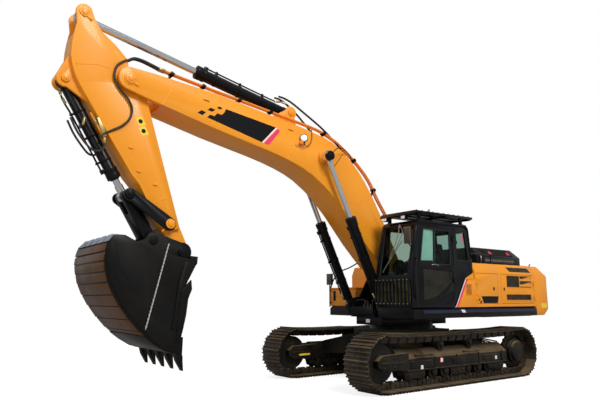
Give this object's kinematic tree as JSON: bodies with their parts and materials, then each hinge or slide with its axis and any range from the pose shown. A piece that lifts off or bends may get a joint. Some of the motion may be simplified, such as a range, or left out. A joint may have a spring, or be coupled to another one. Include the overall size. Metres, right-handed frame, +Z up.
{
  "type": "crawler excavator",
  "caption": "Crawler excavator with guarded cab, mono boom, arm and toothed bucket worked by hydraulic cylinders, parked with the arm tucked in.",
  "frame": {"origin": "middle of the parked machine on the ground", "axes": "+X from the counterweight towards the bucket, +Y towards the cab side, +Z up"},
  "size_m": [10.8761, 3.215, 6.0575],
  "materials": {
    "body_paint": "orange-yellow gloss paint, worn and dusty",
    "black_paint": "satin black paint, dusty",
    "dusty_steel": "bare steel under dry brown dust",
    "bright_rod": "polished",
    "window_glass": "lightly tinted, dusty",
    "seat_cloth": "woven",
    "trim_plastic": "grained"
  },
  "bodies": {
    "undercarriage": {"carbody": "dusty_steel", "slewing_ring": "black_paint", "track_frame_left": "dusty_steel", "track_frame_right": "dusty_steel", "track_left": "dusty_steel", "track_right": "dusty_steel", "idler_left": "dusty_steel", "idler_right": "dusty_steel", "sprocket_left": "dusty_steel", "sprocket_right": "dusty_steel"},
    "upperstructure": {"main_frame": "black_paint", "counterweight": "body_paint", "engine_block": "dusty_steel", "centre_cover": "black_paint", "rear_housing": "body_paint", "left_front_housing": "body_paint", "left_cheek_panel": "body_paint", "fuel_tank": "body_paint", "hydraulic_tank": "body_paint", "toolbox": "body_paint", "cab_shell": "black_paint", "windscreen": "window_glass", "left_rear_window": "window_glass", "right_window": "window_glass", "right_rear_window": "window_glass", "rear_window": "window_glass", "roof_hatch": "black_paint", "control_console": "trim_plastic", "operator_seat": "seat_cloth", "roof_guard": "black_paint", "front_guard": "black_paint", "left_mirror": "black_paint", "right_mirror": "black_paint"},
    "boom": {"boom": "body_paint"},
    "arm": {"arm": "body_paint"},
    "bucket": {"bucket": "black_paint"},
    "boom_cylinder_barrel_left": {"boom_cylinder_barrel_left": "black_paint"},
    "boom_cylinder_barrel_right": {"boom_cylinder_barrel_right": "black_paint"},
    "boom_cylinder_rod_left": {"boom_cylinder_rod_left": "bright_rod"},
    "boom_cylinder_rod_right": {"boom_cylinder_rod_right": "bright_rod"},
    "arm_cylinder_barrel": {"arm_cylinder_barrel": "black_paint"},
    "arm_cylinder_rod": {"arm_cylinder_rod": "bright_rod"},
    "bucket_cylinder_barrel": {"bucket_cylinder_barrel": "black_paint"},
    "bucket_cylinder_rod": {"bucket_cylinder_rod": "bright_rod"},
    "rocker": {"rocker_plates": "black_paint"},
    "bucket_link": {"bucket_link": "black_paint"},
    "cab_door": {"cab_door": "black_paint", "door_window": "window_glass"},
    "engine_hood": {"engine_hood": "black_paint"},
    "left_front_door": {"left_front_door": "body_paint"},
    "left_rear_door": {"left_rear_door": "body_paint"},
    "right_rear_door": {"right_rear_door": "body_paint"},
    "toolbox_lid": {"toolbox_lid": "body_paint"}
  },
  "joints": [
    {"name": "swing", "type": "hinge", "parent": "undercarriage", "child": "upperstructure", "pos_m": [-1.84, 0, 1.08], "axis": [0, 0, 1], "continuous": true},
    {"name": "boom", "type": "hinge", "parent": "upperstructure", "child": "boom", "pos_m": [-1.48, 0, 2.2], "axis": [0, -1, 0], "range_deg": [-70, 22]},
    {"name": "arm", "type": "hinge", "parent": "boom", "child": "arm", "pos_m": [4.3868, 0, 4.99832], "axis": [0, 1, 0], "range_deg": [-85, 6]},
    {"name": "bucket", "type": "hinge", "parent": "arm", "child": "bucket", "pos_m": [3.3701, 0, 2.33584], "axis": [0, 1, 0], "range_deg": [-8, 150]},
    {"name": "boom_cylinder_pivot_left", "type": "hinge", "parent": "upperstructure", "child": "boom_cylinder_barrel_left", "pos_m": [-0.84, 0.47, 1.47], "axis": [0, -1, 0], "range_deg": [-71.01, 22.66]},
    {"name": "boom_cylinder_stroke_left", "type": "slide", "parent": "boom_cylinder_barrel_left", "child": "boom_cylinder_rod_left", "axis": [0.4378, 0, 0.8991], "range_m": [-1.0732, 0.34]},
    {"name": "boom_cylinder_pivot_right", "type": "hinge", "parent": "upperstructure", "child": "boom_cylinder_barrel_right", "pos_m": [-0.84, -0.47, 1.47], "axis": [0, -1, 0], "range_deg": [-71.01, 22.66]},
    {"name": "boom_cylinder_stroke_right", "type": "slide", "parent": "boom_cylinder_barrel_right", "child": "boom_cylinder_rod_right", "axis": [0.4378, 0, 0.8991], "range_m": [-1.0732, 0.34]},
    {"name": "arm_cylinder_pivot", "type": "hinge", "parent": "boom", "child": "arm_cylinder_barrel", "pos_m": [1.18242, 0, 5.14288], "axis": [0, -1, 0], "range_deg": [-1.1, 9.03]},
    {"name": "arm_cylinder_stroke", "type": "slide", "parent": "arm_cylinder_barrel", "child": "arm_cylinder_rod", "axis": [0.9806, 0, 0.196], "range_m": [-1.5518, 0.1133]},
    {"name": "bucket_cylinder_pivot", "type": "hinge", "parent": "arm", "child": "bucket_cylinder_barrel", "pos_m": [5.30114, 0, 4.84185], "axis": [0, -1, 0], "range_deg": [-0.96, 9.14]},
    {"name": "bucket_cylinder_stroke", "type": "slide", "parent": "bucket_cylinder_barrel", "child": "bucket_cylinder_rod", "axis": [-0.5228, 0, -0.8525], "range_m": [-0.0714, 1.2683]},
    {"name": "rocker", "type": "hinge", "parent": "arm", "child": "rocker", "pos_m": [3.61964, 0, 2.76506], "axis": [0, 1, 0], "range_deg": [-6.48, 112.7]},
    {"name": "bucket_link", "type": "hinge", "parent": "rocker", "child": "bucket_link", "pos_m": [4.27989, 0, 3.1766], "axis": [0, 1, 0], "range_deg": [-63.42, 3.86]},
    {"name": "cab_door", "type": "hinge", "parent": "upperstructure", "child": "cab_door", "pos_m": [-1.793, 1.504, 2.3], "axis": [0, 0, 1], "range_deg": [0, 160]},
    {"name": "left_front_door", "type": "hinge", "parent": "upperstructure", "child": "left_front_door", "pos_m": [-2.498, 1.504, 1.8], "axis": [0, 0, 1], "range_deg": [-110, 0]},
    {"name": "left_rear_door", "type": "hinge", "parent": "upperstructure", "child": "left_rear_door", "pos_m": [-4.557, 1.504, 1.8], "axis": [0, 0, 1], "range_deg": [0, 110]},
    {"name": "right_rear_door", "type": "hinge", "parent": "upperstructure", "child": "right_rear_door", "pos_m": [-4.557, -1.504, 1.8], "axis": [0, 0, -1], "range_deg": [0, 110]},
    {"name": "engine_hood", "type": "hinge", "parent": "upperstructure", "child": "engine_hood", "pos_m": [-3.076, 0, 2.3463], "axis": [0, 1, 0], "range_deg": [0, 60]},
    {"name": "toolbox_lid", "type": "hinge", "parent": "upperstructure", "child": "toolbox_lid", "pos_m": [-1.774, -1.055, 1.85], "axis": [0, -1, 0], "range_deg": [0, 80]}
  ],
  "couplings": [
    {"joint": "boom_cylinder_pivot_left", "follows": "boom", "ratio": 1.0073},
    {"joint": "boom_cylinder_stroke_left", "follows": "boom", "m_per_rad": 0.87516},
    {"joint": "boom_cylinder_pivot_right", "follows": "boom", "ratio": 1.0073},
    {"joint": "boom_cylinder_stroke_right", "follows": "boom", "m_per_rad": 0.87516},
    {"joint": "arm_cylinder_pivot", "follows": "arm", "ratio": -0.1004},
    {"joint": "arm_cylinder_stroke", "follows": "arm", "m_per_rad": 1.0433},
    {"joint": "bucket_cylinder_pivot", "follows": "bucket", "ratio": 0.05758},
    {"joint": "bucket_cylinder_stroke", "follows": "bucket", "m_per_rad": 0.48291},
    {"joint": "rocker", "follows": "bucket", "ratio": 0.74803},
    {"joint": "bucket_link", "follows": "bucket", "ratio": -0.41949}
  ]
}
